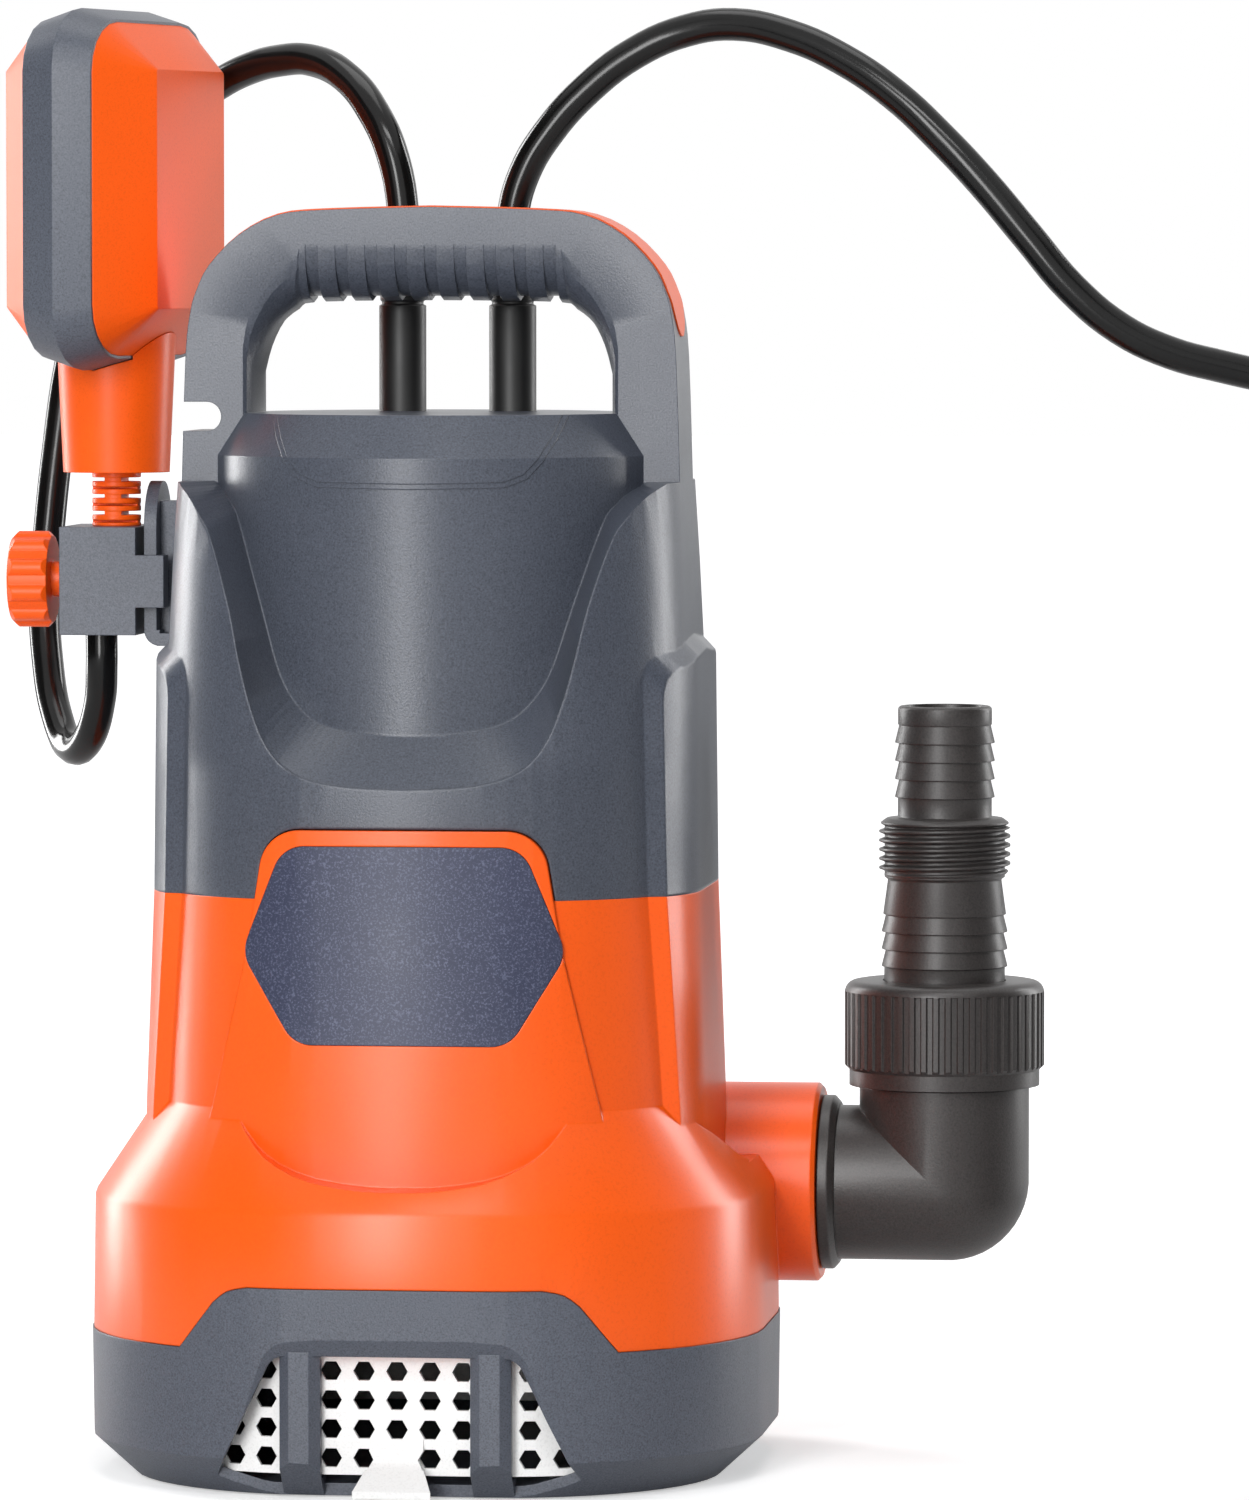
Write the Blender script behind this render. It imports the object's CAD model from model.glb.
import math

import bmesh
import bpy
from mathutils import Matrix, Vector


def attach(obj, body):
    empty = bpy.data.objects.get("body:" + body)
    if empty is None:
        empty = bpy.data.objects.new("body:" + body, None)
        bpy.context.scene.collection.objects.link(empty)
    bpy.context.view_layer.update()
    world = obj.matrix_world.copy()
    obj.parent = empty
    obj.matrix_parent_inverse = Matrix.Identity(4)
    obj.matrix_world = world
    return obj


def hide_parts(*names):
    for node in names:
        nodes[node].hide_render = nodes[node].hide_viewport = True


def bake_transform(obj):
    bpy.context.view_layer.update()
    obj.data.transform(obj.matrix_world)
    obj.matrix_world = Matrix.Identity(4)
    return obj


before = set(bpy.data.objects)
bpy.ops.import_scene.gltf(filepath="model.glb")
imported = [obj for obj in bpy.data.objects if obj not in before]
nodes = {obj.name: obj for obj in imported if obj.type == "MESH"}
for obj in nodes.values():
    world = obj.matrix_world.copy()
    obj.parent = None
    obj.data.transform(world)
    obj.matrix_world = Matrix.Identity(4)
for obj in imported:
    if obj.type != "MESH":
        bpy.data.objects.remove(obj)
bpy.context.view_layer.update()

# Submersible sump pump. Lengths are in metres, in the CAD frame: +Z up, +X the outlet
# side, -Y the front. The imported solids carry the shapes; this script adds the camera, the
# cords, the threads and other fine parts, the materials, the floor and the light.

MM = 0.001


# ---- Camera: a long lens, slightly to the right of the front and slightly above ----
CAMERA_AT = Vector((0.3109, -2.2816, 0.2991))
CAMERA_TARGET = Vector((0.0469, 0.0, 0.1787))
LENS_MM = 220.8

camera_data = bpy.data.cameras.new("camera")
camera_data.lens = LENS_MM
camera_data.clip_start = 0.05
camera_data.clip_end = 40
camera = bpy.data.objects.new("camera", camera_data)
camera.location = CAMERA_AT
camera.rotation_euler = (CAMERA_TARGET - CAMERA_AT).to_track_quat("-Z", "Y").to_euler()
bpy.context.scene.collection.objects.link(camera)
bpy.context.scene.camera = camera


# ---- Small helpers ----
def link(obj):
    bpy.context.scene.collection.objects.link(obj)
    return obj


def mesh_object(name, verts, faces, smooth=True):
    mesh = bpy.data.meshes.new(name)
    mesh.from_pydata([tuple(v) for v in verts], [], faces)
    mesh.update()
    for polygon in mesh.polygons:
        polygon.use_smooth = smooth
    return link(bpy.data.objects.new(name, mesh))


# ---- Materials ----
# The front between the corner panels reads as a wide cylinder; that ends over a short height
CROWN_R, CROWN_SPREAD, CROWN_FADE = 0.150, 0.036, 0.006
# Fine grooves lie above this height; the edges below it are rounder
FINE_ABOVE, FINE_FADE = 0.241, 0.004
BEVEL_SAMPLES = 8


class Shader:
    """A node tree being built: each call adds a node and links what it is given."""

    def __init__(self, name):
        self.material = bpy.data.materials.new(name)
        self.material.use_nodes = True
        self.tree = self.material.node_tree
        self.tree.nodes.clear()
        self.out = self.tree.nodes.new("ShaderNodeOutputMaterial")

    def add(self, kind, inputs=None, **settings):
        node = self.tree.nodes.new("ShaderNode" + kind)
        for key, value in settings.items():
            setattr(node, key, value)
        for key, value in (inputs or {}).items():
            socket = node.inputs[key]
            if isinstance(value, bpy.types.NodeSocket):
                self.tree.links.new(value, socket)
            else:
                socket.default_value = value
        return node

    def noise(self, scale, detail=2.0, rough=0.5, vector=None):
        inputs = {"Scale": scale, "Detail": detail, "Roughness": rough}
        inputs["Vector"] = vector or self.place()
        return self.add("TexNoise", inputs).outputs["Fac"]

    def place(self):
        return self.add("TexCoord").outputs["Object"]

    def span(self, value, low, high, to_low, to_high):
        node = self.add("MapRange", {"Value": value, "From Min": low, "From Max": high,
                                     "To Min": to_low, "To Max": to_high})
        return node.outputs["Result"]

    def blend(self, factor, a, b):
        node = self.add("Mix", data_type="RGBA")
        for socket, value in ((node.inputs[0], factor), (node.inputs[6], a), (node.inputs[7], b)):
            if isinstance(value, bpy.types.NodeSocket):
                self.tree.links.new(value, socket)
            else:
                socket.default_value = value
        return node.outputs[2]

    def bump(self, height, distance, strength=1.0, normal=None):
        inputs = {"Height": height, "Distance": distance, "Strength": strength}
        if normal:
            inputs["Normal"] = normal
        return self.add("Bump", inputs).outputs["Normal"]

    def rounded(self, radius):
        return self.add("Bevel", {"Radius": radius}, samples=BEVEL_SAMPLES).outputs["Normal"]

    def math(self, operation, a, b=None):
        inputs = {0: a} if b is None else {0: a, 1: b}
        return self.add("Math", inputs, operation=operation).outputs[0]

    def height(self):
        return self.add("SeparateXYZ", {0: self.place()}).outputs[2]

    def crown(self, radius, spread, normal, below):
        """Bends a flat front, up to a height, as part of a wide upright cylinder round x = 0."""
        x = self.add("SeparateXYZ", {0: self.place()}).outputs[0]
        falling = self.math("DIVIDE", self.math("MULTIPLY", x, x), -2 * spread * spread)
        swell = self.math("MULTIPLY", self.math("EXPONENT", falling), spread * spread / radius)
        bent = self.bump(swell, 1.0, 1.0, normal)
        share = self.span(self.height(), below, below + CROWN_FADE, 1.0, 0.0)
        mixed = self.add("Mix", {0: share, 4: normal, 5: bent}, data_type="VECTOR")
        return mixed.outputs[1]

    def finish(self, **inputs):
        bsdf = self.add("BsdfPrincipled", {k.replace("_", " "): v for k, v in inputs.items()})
        self.tree.links.new(bsdf.outputs[0], self.out.inputs["Surface"])
        return self.material


def shade(color, factor):
    return tuple(min(1.0, c * factor) for c in color) + (1.0,)


def moulded_plastic(name, color, roughness, grain_mm, grain_depth_mm, edge_mm, spec=0.3, mottle=0.15,
                    crowned_below=None, low_edge_mm=None):
    """A moulded part: faint flow of colour, a spark-eroded grain and softened edges."""
    s = Shader(name)
    flow = s.noise(14, 3)
    grain = s.noise(1 / (grain_mm * MM), 3, 0.6)
    speckle = s.span(grain, 0.52, 0.64, 0.0, mottle)
    base = s.blend(s.span(flow, 0.3, 0.7, 0.0, 1.0), shade(color, 0.94), shade(color, 1.04))
    base = s.blend(speckle, base, shade(color, 1.4))
    pits = s.span(grain, 0.37, 0.46, mottle, 0.0)
    base = s.blend(pits, base, shade(color, 0.5))
    gloss = s.span(flow, 0.3, 0.7, roughness - 0.04, roughness + 0.05)
    radius = edge_mm * MM
    if low_edge_mm:
        radius = s.span(s.height(), FINE_ABOVE - FINE_FADE, FINE_ABOVE, low_edge_mm * MM, radius)
    soft = s.rounded(radius)
    if crowned_below:
        soft = s.crown(CROWN_R, CROWN_SPREAD, soft, crowned_below)
    normal = s.bump(grain, grain_depth_mm * MM, 1.0, soft)
    return s.finish(Base_Color=base, Roughness=gloss, Normal=normal, Specular_IOR_Level=spec)


def rubber(name, color, roughness, grain_mm=0.5, edge_mm=0.3, spec=0.4):
    s = Shader(name)
    dust = s.noise(30, 4, 0.6)
    grain = s.noise(1 / (grain_mm * MM), 2)
    base = s.blend(s.span(dust, 0.4, 0.8, 0.0, 0.5), shade(color, 1.0), shade(color, 1.9))
    rough = s.span(dust, 0.3, 0.7, roughness - 0.05, roughness + 0.08)
    normal = s.bump(grain, 0.012 * MM, 0.6, s.rounded(edge_mm * MM))
    return s.finish(Base_Color=base, Roughness=rough, Normal=normal, Specular_IOR_Level=spec)


def metal(name, color, roughness, axis_scale):
    """Drawn or turned metal: fine lines that run across one axis."""
    s = Shader(name)
    stretched = s.add("Mapping", {"Vector": s.place(), "Scale": axis_scale}).outputs["Vector"]
    lines = s.noise(1.0, 3, 0.7, stretched)
    stain = s.noise(60, 3)
    base = s.blend(s.span(stain, 0.35, 0.7, 0.0, 1.0), shade(color, 0.9), shade(color, 1.08))
    rough = s.span(lines, 0.3, 0.7, roughness - 0.06, roughness + 0.1)
    normal = s.bump(lines, 0.01 * MM, 0.5, s.rounded(0.2 * MM))
    return s.finish(Base_Color=base, Roughness=rough, Normal=normal, Metallic=1.0)


ORANGE = (0.98, 0.112, 0.006)
SLATE = (0.070, 0.079, 0.102)
BASE_SLATE = (0.086, 0.096, 0.121)
BLACK = (0.034, 0.030, 0.029)
SCREEN_WHITE = (0.90, 0.90, 0.89)

FITTING_FINISH = {"roughness": 0.38, "grain_mm": 0.5, "grain_depth_mm": 0.035, "spec": 0.45,
                  "mottle": 0.6}

orange_body = moulded_plastic("orange body", ORANGE, roughness=0.31, grain_mm=0.7, grain_depth_mm=0.014,
                              edge_mm=0.6, spec=0.4, mottle=0.12, crowned_below=0.170)
orange_matte = moulded_plastic("orange float", ORANGE, roughness=0.37, grain_mm=0.5, grain_depth_mm=0.014,
                               edge_mm=0.4, spec=0.25)
slate_body = moulded_plastic("slate body", SLATE, roughness=0.31, grain_mm=0.5, grain_depth_mm=0.045,
                             edge_mm=0.3, spec=0.42, mottle=0.6, crowned_below=0.175, low_edge_mm=1.0)
slate_grain = moulded_plastic("slate grain", BASE_SLATE, roughness=0.39, grain_mm=0.45, grain_depth_mm=0.045,
                              edge_mm=0.35, spec=0.38, mottle=0.6)
black_fitting = moulded_plastic("black fitting", BLACK, edge_mm=0.3, **FITTING_FINISH)
black_ribs = moulded_plastic("black ribs", BLACK, edge_mm=0.15, **FITTING_FINISH)
black_inner = moulded_plastic("black inner part", BLACK, roughness=0.5, grain_mm=0.6, grain_depth_mm=0.01,
                              edge_mm=0.3)
white_screen = moulded_plastic("white screen", SCREEN_WHITE, roughness=0.4, grain_mm=0.6,
                               grain_depth_mm=0.008, edge_mm=0.25)
cord_jacket = rubber("cord jacket", (0.005, 0.005, 0.005), roughness=0.17, grain_mm=1.2, spec=0.3)
tie_strap = rubber("tie strap", (0.012, 0.012, 0.012), roughness=0.6, grain_mm=0.4)
sleeve_rubber = rubber("sleeve rubber", (0.010, 0.010, 0.010), roughness=0.42)
seal_rubber = rubber("seal rubber", (0.012, 0.012, 0.012), roughness=0.6)
bright_steel = metal("bright steel", (0.56, 0.57, 0.58), roughness=0.28, axis_scale=(40, 40, 1800))
cast_lamination = metal("lamination", (0.30, 0.31, 0.33), roughness=0.45, axis_scale=(20, 20, 2000))
copper_wire = metal("enamelled wire", (0.60, 0.22, 0.07), roughness=0.3, axis_scale=(900, 900, 900))
plated_brass = metal("plated brass", (0.72, 0.62, 0.42), roughness=0.25, axis_scale=(1200, 40, 40))


def badge_film():
    """Dark blue film with a glittering speckle."""
    fleck_mm, crowned_below = 0.55, 0.2
    s = Shader("badge film")
    fleck = s.noise(1 / (fleck_mm * MM), 2, 0.7)
    fleck = s.span(fleck, 0.5, 0.68, 0.0, 1.0)
    tint = s.noise(40, 2)
    base = s.blend(s.span(tint, 0.3, 0.7, 0.0, 1.0), (0.034, 0.040, 0.076, 1), (0.043, 0.049, 0.088, 1))
    base = s.blend(s.span(fleck, 0.0, 1.0, 0.0, 0.5), base, (0.17, 0.19, 0.29, 1))
    crowned = s.crown(CROWN_R, CROWN_SPREAD, s.rounded(0.2 * MM), crowned_below)
    normal = s.bump(fleck, 0.01 * MM, 0.6, crowned)
    return s.finish(Base_Color=base, Roughness=s.span(tint, 0.3, 0.7, 0.34, 0.42), Normal=normal,
                    Specular_IOR_Level=0.35)


WELD_DISTANCE = 0.000002


def smooth_by_angle(angle_deg):
    """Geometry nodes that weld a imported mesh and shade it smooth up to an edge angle."""
    group = bpy.data.node_groups.new("smooth up to %d degrees" % angle_deg, "GeometryNodeTree")
    group.interface.new_socket("Geometry", in_out="INPUT", socket_type="NodeSocketGeometry")
    group.interface.new_socket("Geometry", in_out="OUTPUT", socket_type="NodeSocketGeometry")
    add, join = group.nodes.new, group.links.new
    start, end = add("NodeGroupInput"), add("NodeGroupOutput")
    weld = add("GeometryNodeMergeByDistance")
    weld.inputs["Distance"].default_value = WELD_DISTANCE
    bare = add("GeometryNodeRemoveAttribute")
    bare.inputs["Name"].default_value = "custom_normal"
    faces, edges = add("GeometryNodeSetShadeSmooth"), add("GeometryNodeSetShadeSmooth")
    edges.domain = "EDGE"
    bend = add("GeometryNodeInputMeshEdgeAngle")
    flat = add("FunctionNodeCompare")
    flat.operation = "LESS_EQUAL"
    flat.inputs[1].default_value = math.radians(angle_deg)
    join(start.outputs[0], bare.inputs[0])
    join(bare.outputs[0], weld.inputs[0])
    join(weld.outputs[0], faces.inputs[0])
    join(faces.outputs[0], edges.inputs[0])
    join(bend.outputs["Unsigned Angle"], flat.inputs[0])
    join(flat.outputs[0], edges.inputs["Shade Smooth"])
    join(edges.outputs[0], end.inputs[0])
    return group


SMOOTH = smooth_by_angle(24)


def dress(material, *names):
    """Gives CAD nodes their material and smooth shading."""
    for name in names:
        obj = nodes[name]
        obj.data.materials.clear()
        obj.data.materials.append(material)
        obj.modifiers.new("smooth", "NODES").node_group = SMOOTH


# ---- Cords ----
CORD_D = 0.0082
# Middle of each cord: the CAD source's points, eased where the power cord turns down to its coil
FLOAT_CORD = [(-0.012, 0.022, 0.304), (-0.012, 0.022, 0.314), (-0.015, 0.024, 0.328),
              (-0.020, 0.028, 0.338), (-0.028, 0.036, 0.347), (-0.039, 0.046, 0.352),
              (-0.048, 0.052, 0.352), (-0.057, 0.058, 0.350), (-0.066, 0.064, 0.346),
              (-0.077, 0.070, 0.339), (-0.088, 0.074, 0.327), (-0.096, 0.076, 0.311),
              (-0.102, 0.076, 0.293), (-0.107, 0.076, 0.273), (-0.110, 0.076, 0.253),
              (-0.112, 0.075, 0.234), (-0.113, 0.072, 0.215), (-0.111, 0.065, 0.198),
              (-0.107, 0.056, 0.184), (-0.101, 0.045, 0.176), (-0.095, 0.035, 0.179),
              (-0.091, 0.029, 0.189), (-0.090, 0.026, 0.198), (-0.090, 0.026, 0.2064)]
POWER_CORD = [(0.016, 0.022, 0.304), (0.016, 0.022, 0.312), (0.019, 0.022, 0.323),
              (0.025, 0.022, 0.333), (0.035, 0.022, 0.344), (0.047, 0.0215, 0.353),
              (0.060, 0.0205, 0.3585), (0.0725, 0.018, 0.360), (0.087, 0.014, 0.357),
              (0.1005, 0.010, 0.351), (0.114, 0.006, 0.342), (0.1255, 0.003, 0.3315),
              (0.1365, 0.001, 0.320), (0.1475, 0.0, 0.307), (0.1585, 0.0, 0.294),
              (0.1705, 0.001, 0.284), (0.183, 0.003, 0.278), (0.196, 0.006, 0.2745),
              (0.2085, 0.009, 0.2715), (0.223, 0.012, 0.267), (0.241, 0.016, 0.258),
              (0.261, 0.020, 0.242), (0.2805, 0.024, 0.220), (0.298, 0.029, 0.194),
              (0.314, 0.033, 0.164), (0.327, 0.037, 0.133), (0.3337, 0.0385, 0.117),
              (0.3375, 0.0394, 0.106), (0.3394, 0.0399, 0.096), (0.340, 0.040, 0.086)]

# The coil of the length that lies beside the pump, by the CAD source's formula
COIL_AT = (0.300, -0.030)
COIL_R = 0.0625
COIL_TURNS = 3
COIL_LAYERS = 4
COIL_PITCH = CORD_D + 0.0006
COIL_BOTTOM = CORD_D / 2 + 0.00005
TURN_POINTS = 24
# The plug lies half its height above the floor and this far past the coil's end
PLUG_Z, PLUG_REACH = 0.0125, 0.078


def coil_point(t):
    whole = COIL_TURNS * COIL_LAYERS
    m = t % (2 * COIL_TURNS)
    inward = whole - t if t > whole else min(m, 2 * COIL_TURNS - m)
    near = round(t / COIL_TURNS)
    past = t - near * COIL_TURNS
    if near in (0, COIL_LAYERS) or abs(past) > 0.25:
        level = min(int(t / COIL_TURNS + 1e-9), COIL_LAYERS - 1)
    else:
        level = near - 0.5 + 2 * past
    r = COIL_R - COIL_PITCH * inward
    a = math.radians(90 + 360 * t)
    z = COIL_BOTTOM + COIL_PITCH * (COIL_LAYERS - 1 - level)
    return Vector((COIL_AT[0] + r * math.cos(a), COIL_AT[1] + r * math.sin(a), z))


def bezier(p, t):
    u = 1 - t
    return u ** 3 * p[0] + 3 * u * u * t * p[1] + 3 * u * t * t * p[2] + t ** 3 * p[3]


def coil_path():
    joint = Vector(POWER_CORD[-1])
    total = COIL_TURNS * COIL_LAYERS + 0.5
    first, last = coil_point(0), coil_point(total)
    plug_x = last.x + PLUG_REACH
    lead_in = [joint - Vector((0, 0, CORD_D)), Vector((joint.x, joint.y, first.z + 0.016)),
               first + Vector((0.036, 0, 0)), first]
    lead_out = [last, last + Vector((0.050, 0, 0)),
                Vector((plug_x - CORD_D - 0.020, last.y, PLUG_Z)), Vector((plug_x - CORD_D, last.y, PLUG_Z))]
    path = [bezier(lead_in, i / 8) for i in range(8)]
    path += [coil_point(i / TURN_POINTS) for i in range(int(total * TURN_POINTS) + 1)]
    path += [bezier(lead_out, i / 6) for i in range(1, 7)]
    return path + [Vector((plug_x, last.y, PLUG_Z))]


def cord_curve(name, points, resolution):
    curve = bpy.data.curves.new(name, "CURVE")
    curve.dimensions = "3D"
    curve.bevel_depth = CORD_D / 2
    curve.bevel_resolution = 5
    curve.use_fill_caps = True
    spline = curve.splines.new("BEZIER")
    spline.bezier_points.add(len(points) - 1)
    spline.resolution_u = resolution
    for point, place in zip(spline.bezier_points, points):
        point.co = place
        point.handle_left_type = point.handle_right_type = "AUTO"
    curve.materials.append(cord_jacket)
    return link(bpy.data.objects.new(name, curve))


def path_length(points):
    return sum((Vector(b) - Vector(a)).length for a, b in zip(points, points[1:]))


def coil_tie():
    """A flat strap round the coil's bundle, on the side that faces the pump."""
    half_w, thick, corner, rim = 0.006, 0.0009, 0.0045, 0.0004
    low_r = COIL_R - COIL_PITCH * COIL_TURNS - CORD_D / 2
    high_r = COIL_R + CORD_D / 2
    low_z, high_z = 0.0012, COIL_BOTTOM + COIL_PITCH * (COIL_LAYERS - 1) + CORD_D / 2
    ring = []
    for cx, cz, start in ((high_r - corner, high_z - corner, 0), (low_r + corner, high_z - corner, 90),
                          (low_r + corner, low_z + corner, 180), (high_r - corner, low_z + corner, 270)):
        for k in range(7):
            a = math.radians(start + 15 * k)
            ring.append((cx, cz, math.cos(a), math.sin(a)))
    verts, faces = [], []
    for cx, cz, ca, sa in ring:
        for r, y in ((corner, -half_w), (corner + thick, -half_w + rim), (corner + thick, half_w - rim),
                     (corner, half_w)):
            verts.append((COIL_AT[0] - cx - r * ca, COIL_AT[1] + y, cz + r * sa))
    n = len(ring)
    for i in range(n):
        j = (i + 1) % n
        faces += [(4 * i + k, 4 * i + (k + 1) % 4, 4 * j + (k + 1) % 4, 4 * j + k) for k in range(4)]
    tie = mesh_object("coil_tie", verts, faces)
    tie.data.materials.append(tie_strap)
    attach(tie, "pump")


coil_tie()
power_points = [Vector(p) for p in POWER_CORD] + coil_path()
power_cord = cord_curve("mains_cord", power_points, 5)
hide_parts("power_cord", "power_cord_coil")
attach(power_cord, "pump")
round(path_length(power_points), 3)


def as_mesh(curve_obj, name):
    """The curve's tube as a mesh, for a piece that bends across a joint."""
    mesh = bpy.data.meshes.new_from_object(curve_obj)
    bpy.data.objects.remove(curve_obj)
    for polygon in mesh.polygons:
        polygon.use_smooth = True
    return link(bpy.data.objects.new(name, mesh))


float_lead = as_mesh(cord_curve("float_lead_route", FLOAT_CORD, 8), "float_lead")
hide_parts("float_cord")
# The upper part stays with the pump and the loop's lower part follows the sliding clamp
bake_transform(float_lead)
round(path_length(FLOAT_CORD), 3)


# ---- Hose adaptor with its real thread ----
def turned_piece(name, rows, axis_xy, segments=128):
    """Turns a closed outline of (radius, height); a radius may be a function of the angle."""
    verts, faces = [], []
    n = len(rows)
    for i in range(segments):
        a = 2 * math.pi * i / segments
        for r, z in rows:
            radius = r(a) if callable(r) else r
            verts.append((axis_xy[0] + radius * math.cos(a), axis_xy[1] + radius * math.sin(a), z))
        j = (i + 1) % segments
        faces += [(i * n + k, j * n + k, j * n + (k + 1) % n, i * n + (k + 1) % n) for k in range(n)]
    piece = mesh_object(name, verts, faces)
    piece.modifiers.new("smooth", "NODES").node_group = SMOOTH
    return piece


def softened(corners, radius):
    """An open outline of (radius, height) in mm with its corners rounded a little."""
    out = [Vector(corners[0])]
    for before, p, after in zip(corners, corners[1:], corners[2:]):
        before, p, after = Vector(before), Vector(p), Vector(after)
        cut = min(radius, (before - p).length * 0.4, (after - p).length * 0.4)
        first = p + (before - p).normalized() * cut
        last = p + (after - p).normalized() * cut
        out += [first, (first + 2 * p + last) / 4, last]
    return out + [Vector(corners[-1])]


ELBOW_AXIS = (0.124, 0.040)
BORE_R, NECK_R, BARB_R, SMALL_BARB_R, SMALL_NECK_R = 10.0, 15.3, 16.0, 12.7, 11.9
FLANGE_Z, LARGE_Z, THREAD_Z, COLLAR_Z, SMALL_Z, TOP_Z = 111.65, 122.25, 144.95, 157.95, 165.15, 188.35
ADAPTOR_FLANGE_R, ADAPTOR_FLANGE_H = 19.5, 3.2
LARGE_BARBS, BARB_PITCH, SMALL_BARBS, SMALL_BARB_PITCH, BARB_DROP = 3, 4.4, 4, 4.6, 1.1
THREAD_CREST, THREAD_ROOT, THREAD_PITCH, THREAD_ROWS = 16.65, 15.25, 2.309, 72
# The ridge's flat top and its flanks' slope, in shares of the pitch, and how it runs in and out
RIDGE_TOP, RIDGE_SLOPE, THREAD_START, THREAD_RUN_IN, THREAD_RUN_OUT = 1.55, 4.4, 0.4, 1.6, 0.5


def thread_radius(z):
    """The thread's surface at height z: a ridge that climbs one pitch in each turn."""
    def radius(a):
        phase = ((z - THREAD_Z) / THREAD_PITCH - a / (2 * math.pi)) % 1.0
        ridge = min(1.0, max(0.0, RIDGE_TOP - abs(phase - 0.5) * RIDGE_SLOPE))
        start = min(1.0, max(0.0, (z - THREAD_Z - THREAD_START) / THREAD_RUN_IN))
        end = min(1.0, max(0.0, (COLLAR_Z - z) / THREAD_RUN_OUT))
        return (THREAD_ROOT + (THREAD_CREST - THREAD_ROOT) * ridge * min(start, end)) * MM
    return radius


def in_metres(rows):
    return [(p.x * MM, p.y * MM) for p in rows]


def barbs(z, count, pitch, r):
    """Hose barbs one above the other, each sharp at its foot and drawn in towards its top."""
    return [p for i in range(count) for p in ((r, z + pitch * i), (r - BARB_DROP, z + pitch * (i + 1)))]


def adaptor_rows():
    flange_top = FLANGE_Z + ADAPTOR_FLANGE_H
    lower = [(BORE_R, FLANGE_Z), (ADAPTOR_FLANGE_R, FLANGE_Z), (ADAPTOR_FLANGE_R, flange_top),
             (NECK_R, flange_top), (NECK_R, LARGE_Z)]
    lower += barbs(LARGE_Z, LARGE_BARBS, BARB_PITCH, BARB_R)
    lower += [(BARB_R - 0.4, LARGE_Z + LARGE_BARBS * BARB_PITCH), (BARB_R - 1.6, THREAD_Z - 0.6),
              (THREAD_ROOT, THREAD_Z)]
    upper = [(THREAD_ROOT, COLLAR_Z), (NECK_R + 0.9, COLLAR_Z + 0.5), (NECK_R + 0.9, COLLAR_Z + 0.9),
             (NECK_R - 0.6, COLLAR_Z + 2), (SMALL_NECK_R, COLLAR_Z + 2.2), (SMALL_NECK_R, SMALL_Z)]
    upper += barbs(SMALL_Z, SMALL_BARBS, SMALL_BARB_PITCH, SMALL_BARB_R)
    upper += [(SMALL_NECK_R, SMALL_Z + SMALL_BARBS * SMALL_BARB_PITCH), (SMALL_NECK_R, TOP_Z - 0.6),
              (SMALL_NECK_R - 0.6, TOP_Z), (BORE_R, TOP_Z), (BORE_R, FLANGE_Z)]
    rows = in_metres(softened(lower, 0.25))
    for i in range(1, THREAD_ROWS):
        z = THREAD_Z + (COLLAR_Z - THREAD_Z) * i / THREAD_ROWS
        rows.append((thread_radius(z), z * MM))
    return rows + in_metres(softened(upper, 0.25)[:-1])


adaptor = turned_piece("threaded_adaptor", adaptor_rows(), ELBOW_AXIS)
adaptor.data.materials.append(black_fitting)
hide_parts("hose_adaptor")
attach(adaptor, "adaptor")

# ---- Outlet elbow: two pipes that meet in a mitre, with a ball-shaped outer corner ----
AXIS_Z = 67.0
FACE_X, SPIGOT_X, SPIGOT_R, GROOVE_R = 93.1, 81.6, 17.55, 16.1
FLANGE_R, LEVEL_R, UPRIGHT_R, UNION_R, UNION_Z, RISER_TOP = 22.1, 19.6, 21.5, 20.5, 91.9, 110.0
MOUTH_R, COLLAR_T, FILLET_END = 13.5, 3, 4.5
# The seal's groove, as distances in front of the outlet's face, and the shoulder's gap to that face
GROOVE_FROM, GROOVE_TO, FACE_GAP = 6, 3, 0.3
BEND_STEPS, PIPE_COLUMNS = 12, 96
# The crease of the mitre flattens out towards the pipes' crossing and stays sharp until there
MITRE_ANGLE = 9


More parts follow.
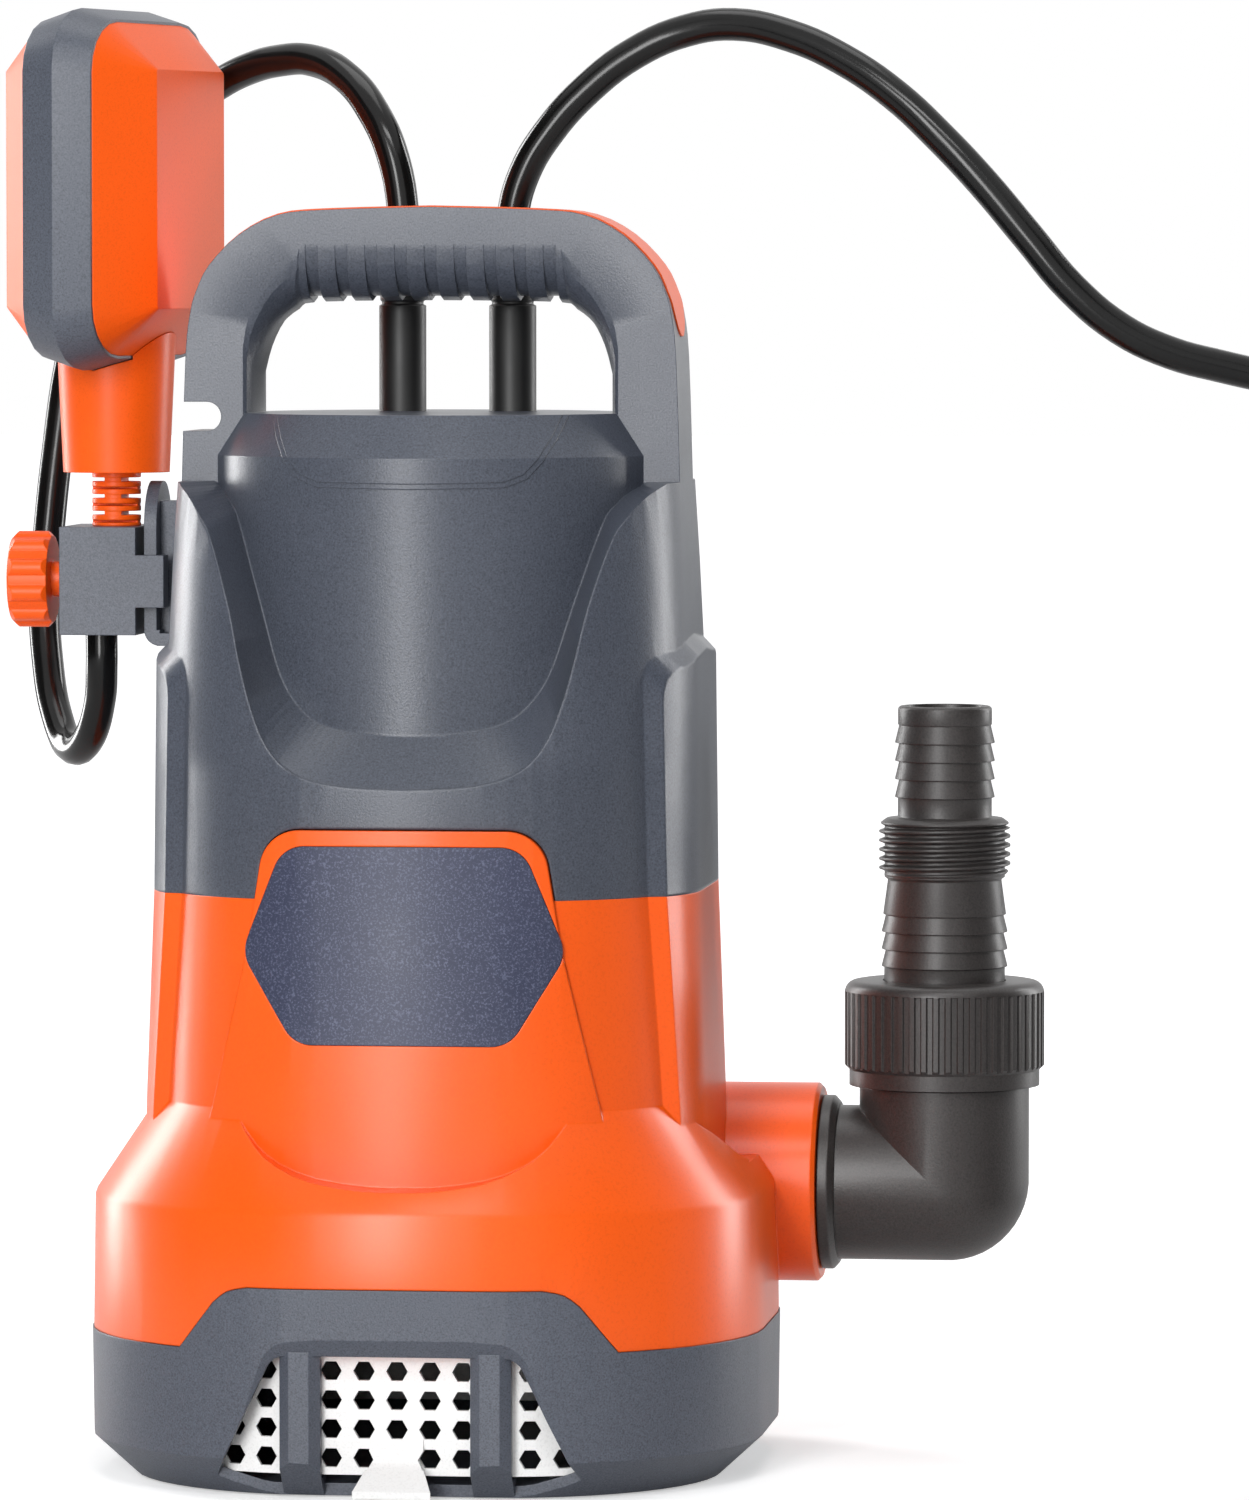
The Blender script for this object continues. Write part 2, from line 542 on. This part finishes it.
def elbow_rows():
    """Each row is a function of the angle round the pipe, 0 on the outside of the bend."""
    x0, y0 = ELBOW_AXIS[0] / MM, ELBOW_AXIS[1] / MM

    def level(x, r):
        return lambda a: (x, y0 + r * math.sin(a), AXIS_Z - r * math.cos(a))

    def upright(z, r):
        return lambda a: (x0 + r * math.cos(a), y0 + r * math.sin(a), z)

    def bend(t, r1, r2):
        side = (r1 + r2) / 2
        b, r = math.radians(90 * t), r1 + (r2 - r1) * t

        def place(a):
            c = math.cos(a)
            if c > 0:
                return (x0 + r * c * math.sin(b), y0 + side * math.sin(a), AXIS_Z - r * c * math.cos(b))
            return (x0 + r2 * c, y0 + side * math.sin(a), AXIS_Z - r1 * c)
        return place

    outside = [(SPIGOT_X, MOUTH_R), (SPIGOT_X, SPIGOT_R),
               (FACE_X - GROOVE_FROM, SPIGOT_R), (FACE_X - GROOVE_FROM, GROOVE_R),
               (FACE_X - GROOVE_TO, GROOVE_R), (FACE_X - GROOVE_TO, SPIGOT_R),
               (FACE_X + FACE_GAP, SPIGOT_R), (FACE_X + FACE_GAP, FLANGE_R), (FACE_X + COLLAR_T, FLANGE_R),
               (FACE_X + FILLET_END, LEVEL_R + 0.8), (FACE_X + FILLET_END, LEVEL_R)]
    rows = [level(x, r) for x, r in softened(outside, 0.3)]
    rows += [bend(i / BEND_STEPS, LEVEL_R, UPRIGHT_R) for i in range(BEND_STEPS + 1)]
    top = [(UPRIGHT_R, UNION_Z - 1), (UPRIGHT_R, UNION_Z), (UNION_R, UNION_Z), (UNION_R, RISER_TOP),
           (MOUTH_R, RISER_TOP)]
    rows += [upright(z, r) for r, z in softened(top, 0.2)]
    return rows + [bend(i / BEND_STEPS, MOUTH_R, MOUTH_R) for i in range(BEND_STEPS, -1, -1)]


def swept_piece(name, rows, columns, crease_deg):
    """A closed skin through rows of points; points that coincide are joined."""
    join_distance = 0.00001
    shape = bmesh.new()
    rings = [[shape.verts.new([v * MM for v in row(2 * math.pi * k / columns)]) for row in rows]
             for k in range(columns)]
    n = len(rows)
    for k, ring in enumerate(rings):
        after = rings[(k + 1) % columns]
        for i in range(n):
            j = (i + 1) % n
            shape.faces.new((ring[i], after[i], after[j], ring[j]))
    bmesh.ops.remove_doubles(shape, verts=shape.verts[:], dist=join_distance)
    bmesh.ops.dissolve_degenerate(shape, edges=shape.edges[:], dist=join_distance)
    bmesh.ops.recalc_face_normals(shape, faces=shape.faces[:])
    mesh = bpy.data.meshes.new(name)
    shape.to_mesh(mesh)
    shape.free()
    for polygon in mesh.polygons:
        polygon.use_smooth = True
    piece = link(bpy.data.objects.new(name, mesh))
    piece.modifiers.new("smooth", "NODES").node_group = smooth_by_angle(crease_deg)
    return piece


elbow = swept_piece("mitred_elbow", elbow_rows(), PIPE_COLUMNS, MITRE_ANGLE)
elbow.data.materials.append(black_fitting)
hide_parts("outlet_elbow")
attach(elbow, "elbow")

# ---- Union nut: flat ribs and valleys of equal width under a plain round shoulder ----
NUT_R, NUT_COLLAR_R, NUT_HOLLOW_R, NUT_BORE_R = 25.3, 24.1, 20.8, 15.6
NUT_FOOT_Z, NUT_HOLLOW_TOP, NUT_TOP, NUT_CORNER = 92.2, 114.9, 118.7, 3.0
NUT_RIBS, RIB_DEPTH, RIB_STEPS = 51, 0.6, 10
RIBS_BOTTOM, RIBS_TOP, RIB_CHAMFER, CHAMFER_STEPS = 96.1, 115.9, 1.2, 4


def ribbed(r):
    """A radius cut back to the valleys' floor in every second half of a rib's pitch."""
    def radius(a):
        phase = (a * NUT_RIBS / (2 * math.pi) + 0.5 / RIB_STEPS) % 1.0
        return min(r, NUT_R - (RIB_DEPTH if phase > 0.5 else 0)) * MM
    return radius


def nut_rows():
    rows = [(NUT_HOLLOW_R * MM, NUT_FOOT_Z * MM), (NUT_COLLAR_R * MM, NUT_FOOT_Z * MM),
            (NUT_COLLAR_R * MM, RIBS_BOTTOM * MM)]
    for i in range(1, CHAMFER_STEPS + 1):
        rise = RIB_CHAMFER * i / CHAMFER_STEPS
        rows.append((ribbed(NUT_COLLAR_R + rise), (RIBS_BOTTOM + rise) * MM))
    rows += [(ribbed(NUT_R), RIBS_TOP * MM), (NUT_R * MM, (RIBS_TOP + 0.1) * MM)]
    for turn in (10, 25, 40, 55, 70, 90):
        a = math.radians(turn)
        rows.append(((NUT_R - NUT_CORNER + NUT_CORNER * math.cos(a)) * MM,
                     (NUT_TOP - NUT_CORNER + NUT_CORNER * math.sin(a)) * MM))
    return rows + [(NUT_BORE_R * MM, NUT_TOP * MM), (NUT_BORE_R * MM, NUT_HOLLOW_TOP * MM),
                   (NUT_HOLLOW_R * MM, NUT_HOLLOW_TOP * MM)]


nut = turned_piece("ribbed_nut", nut_rows(), ELBOW_AXIS, NUT_RIBS * RIB_STEPS)
nut.data.materials.append(black_ribs)
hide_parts("union_nut")
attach(nut, "nut")

# ---- Strain reliefs: bushes whose upper end tapers onto the cord ----
SLEEVE_BOTTOM, SLEEVE_TOP, SLEEVE_FLANGE_TOP = 248.0, 304.0, 251.0
SLEEVE_R, SLEEVE_FLANGE_R, CORD_HOLE_R, SLEEVE_COLUMNS = 5.95, 8.95, 4.15, 64
SLEEVE_GROOVES, SLEEVE_GROOVE_PITCH, SLEEVE_GROOVE_DEPTH, SLEEVE_TAPER = 4, 3.9, 0.7, 0.28
GROOVED_LENGTH = 17


def bush_rows():
    first_z = SLEEVE_TOP - GROOVED_LENGTH
    rows = [(CORD_HOLE_R, SLEEVE_BOTTOM), (SLEEVE_FLANGE_R, SLEEVE_BOTTOM),
            (SLEEVE_FLANGE_R, SLEEVE_FLANGE_TOP), (SLEEVE_R, SLEEVE_FLANGE_TOP), (SLEEVE_R, first_z)]
    for i in range(SLEEVE_GROOVES):
        z, r = first_z + SLEEVE_GROOVE_PITCH * i, SLEEVE_R - SLEEVE_TAPER * i
        floor_r = r - SLEEVE_GROOVE_DEPTH
        rows += [(r, z + 2.6), (floor_r, z + 2.9), (floor_r, z + 3.6),
                 (r - SLEEVE_TAPER, z + SLEEVE_GROOVE_PITCH)]
    rows += [(SLEEVE_R - 1.3, SLEEVE_TOP), (CORD_HOLE_R, SLEEVE_TOP), (CORD_HOLE_R, SLEEVE_BOTTOM)]
    return in_metres(softened(rows, 0.2)[:-1])


for side, (x, y, _) in (("left", FLOAT_CORD[0]), ("right", POWER_CORD[0])):
    bush = turned_piece(side + "_strain_relief", bush_rows(), (x, y), SLEEVE_COLUMNS)
    bush.data.materials.append(sleeve_rubber)
    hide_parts(side + "_cord_sleeve")
    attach(bush, "pump")

# ---- Strain boot of the float: rings held apart by bars that lie crosswise in turn ----
BOOT_AXIS, BOOT_FOOT_Z, BOOT_R, BAR_HALF_WIDTH = (-86.0, 26.0), 233.7, 6.2, 2.15
FOOT_RING_H, RING_H, SIDE_SLOT_H, FRONT_SLOT_H = 0.85, 1.325, 1.0, 0.6
BAR_INSET, BAR_OVERLAP, RING_EDGE, BOOT_COLUMNS = 0.12, 0.1, 0.15, 48


def bar_outline(turn_deg):
    """The part of the boot's circle within a strip through its middle."""
    r = BOOT_R - BAR_INSET
    half = math.degrees(math.asin(BAR_HALF_WIDTH / r))
    turns = [turn_deg + end + half * step / 3 for end in (0, 180) for step in range(-3, 4)]
    return [(r * math.cos(math.radians(t)), r * math.sin(math.radians(t))) for t in turns]


def slab(outline, low, high, edge, verts, faces):
    """A closed slab of an outline round the boot's axis, with softened rims."""
    n, first = len(outline), len(verts)
    for z, inset in ((low, edge), (low + edge, 0), (high - edge, 0), (high, edge)):
        scale = 1 - inset / BOOT_R
        verts += [((BOOT_AXIS[0] + x * scale) * MM, (BOOT_AXIS[1] + y * scale) * MM, z * MM)
                  for x, y in outline]
    for row in range(3):
        base = first + row * n
        faces += [(base + i, base + (i + 1) % n, base + n + (i + 1) % n, base + n + i) for i in range(n)]
    faces += [tuple(first + i for i in reversed(range(n))), tuple(first + 3 * n + i for i in range(n))]


def boot_mesh():
    verts, faces = [], []
    turns = [2 * math.pi * i / BOOT_COLUMNS for i in range(BOOT_COLUMNS)]
    circle = [(BOOT_R * math.cos(t), BOOT_R * math.sin(t)) for t in turns]
    z = BOOT_FOOT_Z + FOOT_RING_H
    slab(circle, BOOT_FOOT_Z, z, RING_EDGE, verts, faces)
    for turn, slot_h in ((0, FRONT_SLOT_H), (90, SIDE_SLOT_H)) * 3:
        slab(bar_outline(turn), z - BAR_OVERLAP, z + slot_h + BAR_OVERLAP, 0, verts, faces)
        z += slot_h
        slab(circle, z, z + RING_H, RING_EDGE, verts, faces)
        z += RING_H
    return mesh_object("slotted_boot", verts, faces)


boot = boot_mesh()
boot.modifiers.new("smooth", "NODES").node_group = SMOOTH
boot.data.materials.append(orange_matte)
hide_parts("strain_boot")
# The foot stays on the clamp and the top leans with the float's neck
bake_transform(boot)

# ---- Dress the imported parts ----
dress(orange_body, "pump_housing")
dress(orange_matte, "clamp_knob", "float_neck", "float_shell_left",
      "float_shell_right", "handle_inlay")
dress(slate_body, "upper_cover")
dress(slate_grain, "strainer_base", "float_rail", "clamp_block", "float_band")
dress(black_inner, "suction_plate", "impeller", "capacitor", "micro_switch", "seal_plate")
dress(white_screen, "filter_screen", "seal_seat", "ball_track")
dress(sleeve_rubber, "power_plug")
dress(seal_rubber, "housing_seal", "elbow_seal", "union_seal", "clamp_pad", "shaft_seal")
dress(bright_steel, "base_screws", "cover_screws", "motor_can", "lower_bearing",
      "upper_bearing", "motor_shaft", "impeller_nut", "switch_ball")
dress(cast_lamination, "stator_core", "rotor_core")
dress(copper_wire, "stator_windings")
dress(plated_brass, "plug_blades", "switch_lever")
dress(badge_film(), "badge_plate")


# ---- Floor, light and background ----
FLOOR_LIFT_NEAR, FLOOR_LIFT_FAR = 0.42, 1.0
FLOOR_Z, FLOOR_HALF_W, FLOOR_FRONT, FLOOR_BACK = -0.0004, 8, -6, 14


def floor_material():
    """Pale floor: what the camera sees is lifted to white, and the object's shadow stays."""
    s = Shader("floor")
    diffuse = s.add("BsdfDiffuse", {"Color": (0.82, 0.82, 0.82, 1)})
    away = s.add("VectorMath", {0: s.place()}, operation="LENGTH").outputs["Value"]
    lift = s.span(away, 0.45, 2.2, FLOOR_LIFT_NEAR, FLOOR_LIFT_FAR)
    glow = s.add("Emission", {"Color": (1, 1, 1, 1), "Strength": lift})
    seen = s.add("LightPath").outputs["Is Camera Ray"]
    none = s.add("Emission", {"Strength": 0.0})
    extra = s.add("MixShader", {0: seen, 1: none.outputs[0], 2: glow.outputs[0]})
    both = s.add("AddShader", {0: diffuse.outputs[0], 1: extra.outputs[0]})
    s.tree.links.new(both.outputs[0], s.out.inputs["Surface"])
    return s.material


floor_corners = [(-FLOOR_HALF_W, FLOOR_FRONT, FLOOR_Z), (FLOOR_HALF_W, FLOOR_FRONT, FLOOR_Z),
                 (FLOOR_HALF_W, FLOOR_BACK, FLOOR_Z), (-FLOOR_HALF_W, FLOOR_BACK, FLOOR_Z)]
floor = mesh_object("floor", floor_corners, [(0, 1, 2, 3)], smooth=False)
floor.data.materials.append(floor_material())


AIM = Vector((0.0, 0.0, 0.18))


def area_light(name, place, size, power):
    data = bpy.data.lights.new(name, "AREA")
    data.shape = "RECTANGLE"
    data.size, data.size_y = size
    data.energy = power
    light = link(bpy.data.objects.new(name, data))
    light.location = place
    light.rotation_euler = (AIM - Vector(place)).to_track_quat("-Z", "Y").to_euler()


area_light("key", (-0.41, -2.21, 0.75), (0.54, 1.5), 37)
area_light("front top", (0.3, -1.6, 1.9), (0.9, 0.3), 10)
area_light("left edge", (-1.46, 1.02, 0.5), (0.45, 1.5), 27)
area_light("right edge", (1.39, 1.09, 0.5), (0.35, 1.5), 18)
area_light("top", (0.0, 0.2, 1.9), (1.2, 0.9), 8)


def dark_card(name, first_deg, last_deg):
    """A curved studio flag far out, seen by glossy rays alone: it keeps the flanks from washing out."""
    steps, r, top = 12, 2.9, 2.6
    turns = [math.radians(first_deg + (last_deg - first_deg) * i / steps) for i in range(steps + 1)]
    verts = [(r * math.sin(a), -r * math.cos(a), z) for a in turns for z in (0.0, top)]
    card = mesh_object(name, verts, [(2 * i, 2 * i + 1, 2 * i + 3, 2 * i + 2) for i in range(steps)])
    s = Shader(name)
    flat_black = s.add("BsdfDiffuse", {"Color": (0.02, 0.02, 0.02, 1)})
    s.tree.links.new(flat_black.outputs[0], s.out.inputs["Surface"])
    card.data.materials.append(s.material)
    card.visible_camera = card.visible_diffuse = card.visible_shadow = False
    card.visible_transmission = card.visible_volume_scatter = False


dark_card("right flag", 42, 140)
dark_card("left flag", -140, -38)

AMBIENT_TINT, AMBIENT_STRENGTH = (0.95, 0.97, 1.0, 1), 0.21


def studio_world():
    """White for the camera and in reflections, and a dim even light for everything else."""
    world = bpy.data.worlds.new("studio")
    world.use_nodes = True
    tree = world.node_tree
    tree.nodes.clear()
    add, join = tree.nodes.new, tree.links.new

    def background(color, strength):
        node = add("ShaderNodeBackground")
        node.inputs["Color"].default_value = color
        node.inputs["Strength"].default_value = strength
        return node.outputs[0]

    def either(a, b):
        node = add("ShaderNodeMath")
        node.operation = "MAXIMUM"
        join(a, node.inputs[0])
        join(b, node.inputs[1])
        return node.outputs[0]

    rays = add("ShaderNodeLightPath").outputs
    shown = either(either(rays["Is Camera Ray"], rays["Is Glossy Ray"]), rays["Is Transmission Ray"])
    choose = add("ShaderNodeMixShader")
    join(shown, choose.inputs[0])
    join(background(AMBIENT_TINT, AMBIENT_STRENGTH), choose.inputs[1])
    join(background((1, 1, 1, 1), 1.0), choose.inputs[2])
    join(choose.outputs[0], add("ShaderNodeOutputWorld").inputs["Surface"])
    return world


bpy.context.scene.world = studio_world()
bpy.context.scene.view_settings.view_transform = "Standard"
